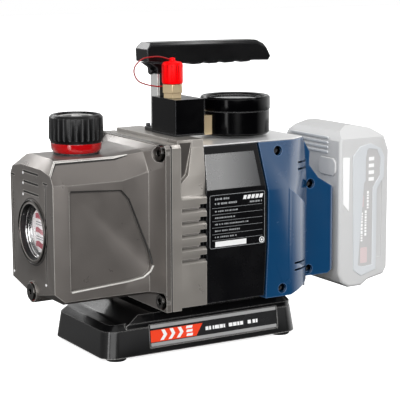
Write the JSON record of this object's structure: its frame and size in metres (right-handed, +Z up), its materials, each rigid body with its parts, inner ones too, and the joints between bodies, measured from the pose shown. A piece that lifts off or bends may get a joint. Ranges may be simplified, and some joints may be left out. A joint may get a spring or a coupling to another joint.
{
  "type": "vacuum pump",
  "caption": "Cordless rotary vane vacuum pump for refrigeration service, with an oil tank, a side port with gauge, a carrying handle, a black base and a slide-on battery.",
  "frame": {"origin": "on the floor under the middle of the whole assembly's box", "axes": "+Z up, +X from the oil tank to the battery along the rotor axis, -Y the side with the label"},
  "size_m": [0.351, 0.125, 0.2675],
  "materials": {
    "tank_paint": "satin charcoal enamel on cast aluminium",
    "bracket_paint": "satin warm grey enamel on cast aluminium",
    "blue_shell": "moulded blue, light texture",
    "motor_skin": "moulded black, semi-gloss",
    "base_plastic": "moulded black, fine grain",
    "foot_rubber": "plain",
    "badge_black": "printed black film",
    "badge_grey": "printed grey film",
    "badge_red": "printed red film",
    "label_black": "printed black film",
    "silver_film": "brushed",
    "gasket_rubber": "plain",
    "red_rubber": "satin",
    "red_seal": "plain",
    "black_cap": "satin, ribbed",
    "red_cap": "soft moulded",
    "screw_steel": "zinc plated",
    "bolt_steel": "blackened",
    "brass_parts": "machined",
    "sight_ring": "polished ring",
    "sight_lens": "clear",
    "level_card": "printed card",
    "manifold_black": "black anodised aluminium",
    "gauge_black": "black lacquer",
    "gauge_glass": "clear",
    "dial_white": "printed face",
    "needle_black": "black lacquer",
    "grip_rubber": "soft-touch black",
    "post_black": "glass-filled black",
    "strap_steel": "brushed",
    "stator_iron": "ground",
    "rotor_steel": "ground",
    "vane_carbon": "carbon-filled",
    "lamination": "stacked sheet",
    "copper_coil": "enamelled copper wire",
    "magnet_steel": "nickel plated",
    "frame_alloy": "turned",
    "fan_plastic": "moulded",
    "board_green": "solder mask",
    "terminal_black": "moulded",
    "switch_black": "moulded",
    "switch_red": "moulded",
    "pack_grey": "pale grey, fine grain",
    "latch_grey": "pale grey",
    "cell_wrap": "shrink wrap"
  },
  "bodies": {
    "pump": {"badge_flash": "badge_red", "badge_plate": "badge_black", "badge_stripes": "badge_grey", "base_feet": "foot_rubber", "base_tray": "base_plastic", "battery_rails": "terminal_black", "centre_bracket": "bracket_paint", "controller_board": "board_green", "exhaust_valve": "rotor_steel", "fill_neck": "black_cap", "gauge_bezel": "gauge_black", "gauge_case": "gauge_black", "gauge_coupling": "brass_parts", "gauge_dial": "dial_white", "gauge_lens": "gauge_glass", "handle_bolts": "bolt_steel", "handle_grip": "grip_rubber", "handle_post": "post_black", "handle_strap": "strap_steel", "inlet_fitting": "brass_parts", "manifold_block": "manifold_black", "manifold_gasket": "gasket_rubber", "motor_cover": "motor_skin", "motor_frame": "frame_alloy", "motor_stator": "lamination", "motor_windings": "copper_coil", "oil_level_card": "level_card", "oil_tank": "tank_paint", "pump_end_plate": "stator_iron", "pump_stator": "stator_iron", "rear_cover": "blue_shell", "rear_cover_screws": "screw_steel", "shaft_bearings": "rotor_steel", "shaft_seal": "gasket_rubber", "sight_glass_bezel": "sight_ring", "sight_glass_lens": "sight_lens", "silver_panels": "silver_film", "spec_label": "label_black", "switch_bezel": "switch_black", "tank_gasket": "gasket_rubber", "tank_screws": "screw_steel", "terminal_block": "terminal_black", "top_plate": "silver_film"},
    "rotor": {"drive_shaft": "rotor_steel", "pump_rotor": "rotor_steel", "rotor_vanes": "vane_carbon", "motor_magnets": "magnet_steel", "cooling_fan": "fan_plastic"},
    "cap_lift": {"fill_cap_ring": "red_rubber"},
    "fill_cap": {"fill_cap": "black_cap"},
    "drain_lift": {"drain_seal": "red_seal"},
    "drain_plug": {"drain_plug": "brass_parts"},
    "inlet_cap": {"inlet_cap": "red_cap", "cap_tether": "red_cap"},
    "gauge_needle": {"gauge_needle": "needle_black"},
    "power_switch": {"power_switch": "switch_red"},
    "battery": {"battery_case": "pack_grey", "battery_cells": "cell_wrap"},
    "near_latch": {"battery_button_near": "latch_grey"},
    "far_latch": {"battery_button_far": "latch_grey"}
  },
  "joints": [
    {"name": "rotor_spin", "type": "hinge", "parent": "pump", "child": "rotor", "pos_m": [0, 0, 0.112], "axis": [1, 0, 0], "continuous": true},
    {"name": "cap_rise", "type": "slide", "parent": "pump", "child": "cap_lift", "axis": [0, 0, 1], "range_m": [0, 0.009]},
    {"name": "cap_turn", "type": "hinge", "parent": "cap_lift", "child": "fill_cap", "pos_m": [-0.129, 0, 0.198], "axis": [0, 0, 1], "range_deg": [0, 1080]},
    {"name": "drain_travel", "type": "slide", "parent": "pump", "child": "drain_lift", "axis": [-1, 0, 0], "range_m": [0, 0.0075]},
    {"name": "drain_turn", "type": "hinge", "parent": "drain_lift", "child": "drain_plug", "pos_m": [-0.17, 0, 0.059], "axis": [-1, 0, 0], "range_deg": [0, 1800]},
    {"name": "inlet_cap_lift", "type": "slide", "parent": "pump", "child": "inlet_cap", "axis": [0, 0, 1], "range_m": [0, 0.03]},
    {"name": "needle_swing", "type": "hinge", "parent": "pump", "child": "gauge_needle", "pos_m": [0.0246, -0.012, 0.212], "axis": [0, 0, -1], "range_deg": [0, 270], "stiffness_Nm_per_rad": 0.0001},
    {"name": "switch_rock", "type": "hinge", "parent": "pump", "child": "power_switch", "pos_m": [0.0397, 0.059, 0.112], "axis": [0, 0, -1], "range_deg": [0, 12]},
    {"name": "battery_slide", "type": "slide", "parent": "pump", "child": "battery", "axis": [0, 0, 1], "range_m": [0, 0.08]},
    {"name": "near_latch_press", "type": "slide", "parent": "battery", "child": "near_latch", "axis": [1, 0, 0], "range_m": [0, 0.002], "stiffness_N_per_m": 500, "springref_m": -0.001},
    {"name": "far_latch_press", "type": "slide", "parent": "battery", "child": "far_latch", "axis": [1, 0, 0], "range_m": [0, 0.002], "stiffness_N_per_m": 500, "springref_m": -0.001}
  ],
  "couplings": [
    {"joint": "cap_turn", "follows": "cap_rise", "rad_per_m": 2094.4},
    {"joint": "drain_turn", "follows": "drain_travel", "rad_per_m": 4188.7}
  ]
}
